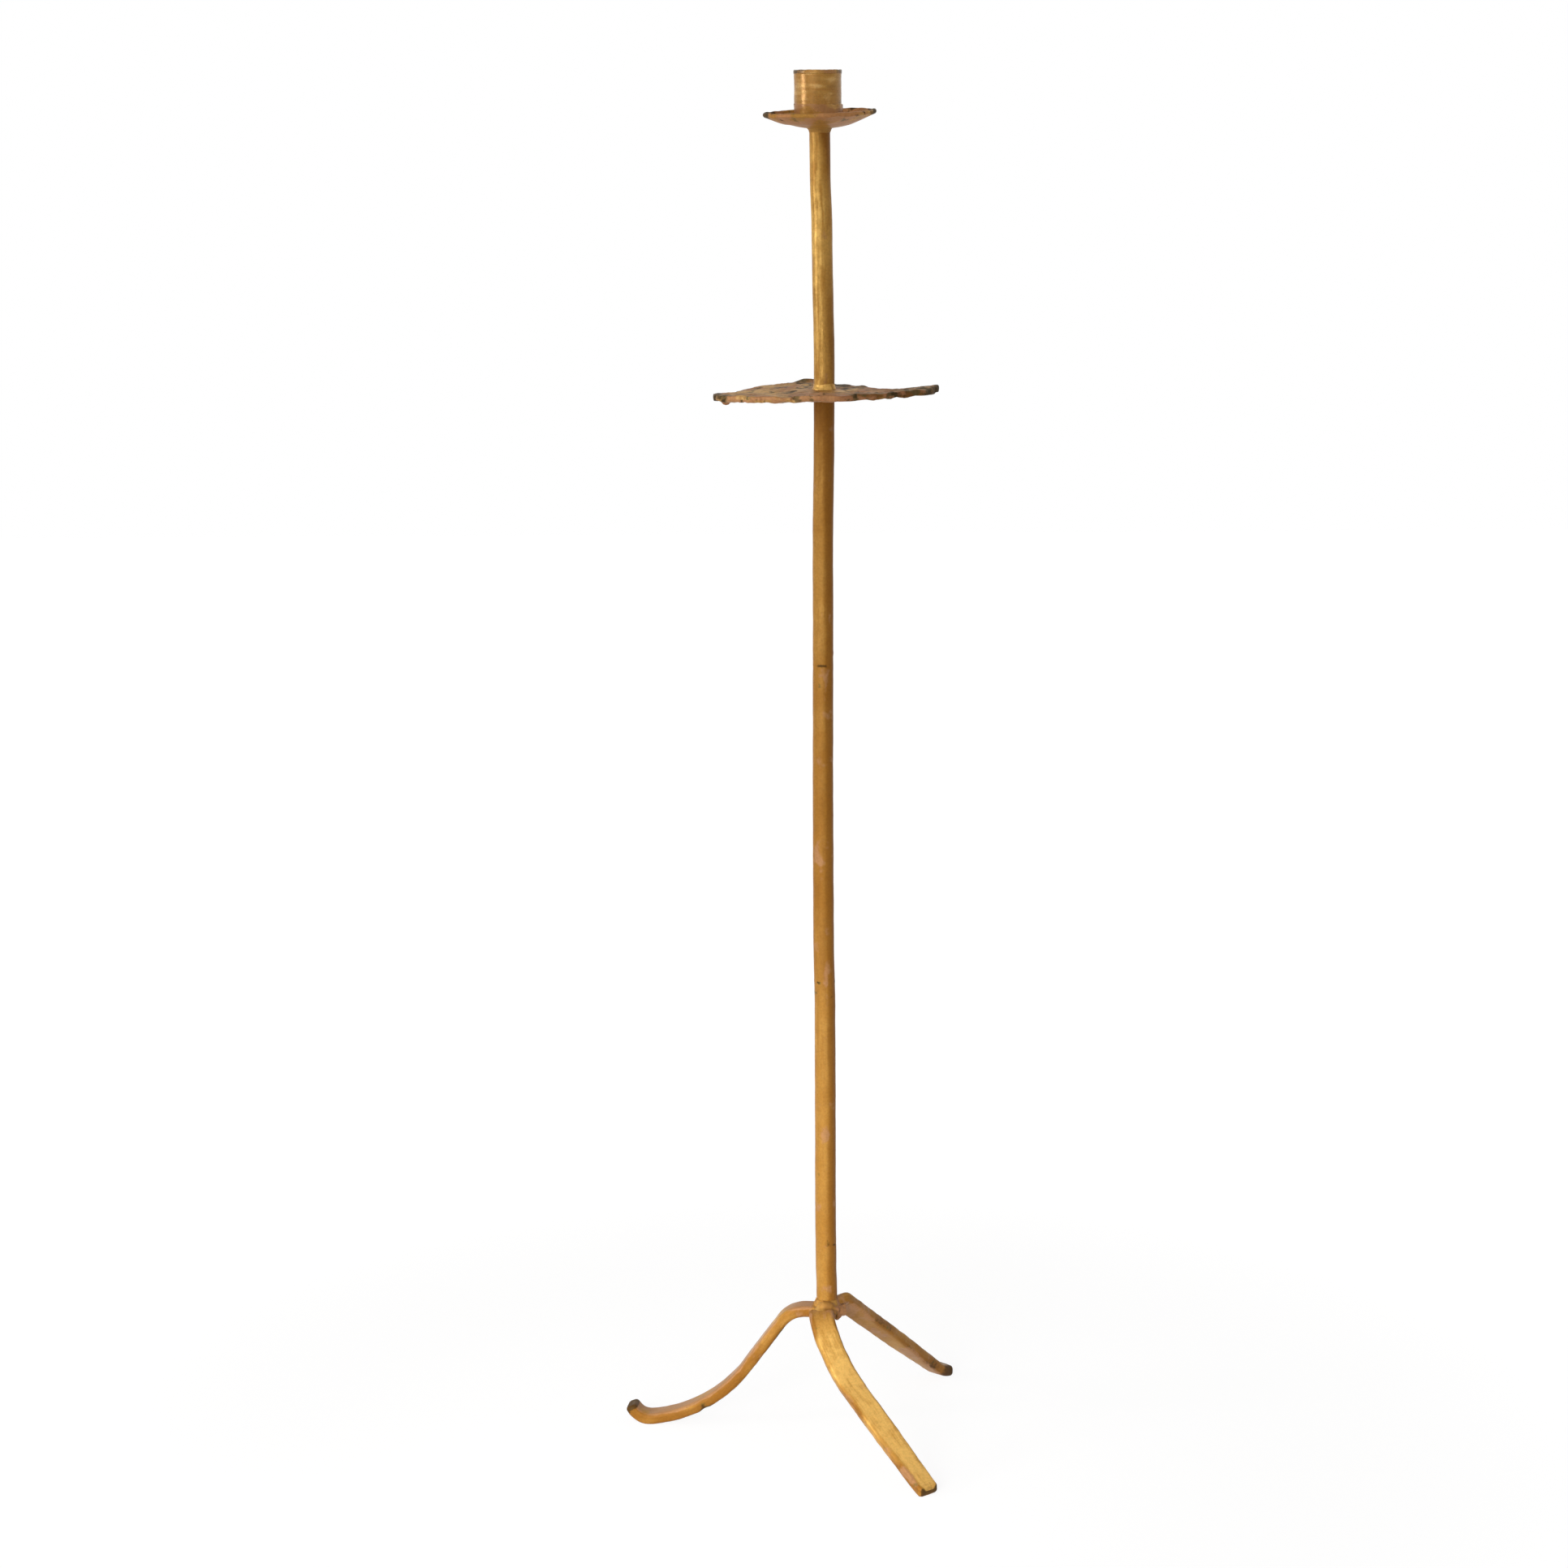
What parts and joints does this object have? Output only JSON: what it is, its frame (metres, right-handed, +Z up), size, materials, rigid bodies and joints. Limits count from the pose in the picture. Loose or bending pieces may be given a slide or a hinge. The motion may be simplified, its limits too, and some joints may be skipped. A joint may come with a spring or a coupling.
{
  "type": "torchere candle stand",
  "caption": "Tall floor candle stand: round bar stem on bent flat-bar legs, a beaten round dish part way up, a shallow drip pan and a candle cup on top.",
  "frame": {"origin": "on the floor, at the middle of the box round the three feet; the stem's axis stands at x 0.0271, y 0.0096 m", "axes": "+Z up along the stem, +X to the right and -Y towards the viewer of the picture, roughly along the front leg"},
  "size_m": [0.276, 0.274, 1.0885],
  "materials": {
    "gilt_iron": "aged satin gilding over wrought iron, rubbed brown along the edges",
    "brown_gilt": "gilding worn to a rosy brown with dark olive patches",
    "plain_steel": "plain turned steel, hidden in the joints"
  },
  "bodies": {
    "root": {"stem_lower": "gilt_iron", "stem_upper": "gilt_iron", "stem_stud": "plain_steel", "dish": "brown_gilt", "dish_weld": "brown_gilt", "leg_left": "gilt_iron", "leg_front": "gilt_iron", "leg_right": "gilt_iron", "root_weld": "brown_gilt", "drip_pan": "brown_gilt", "pan_weld": "brown_gilt", "candle_cup": "gilt_iron", "cup_collar": "gilt_iron", "cup_screw": "plain_steel"}
  },
  "joints": []
}
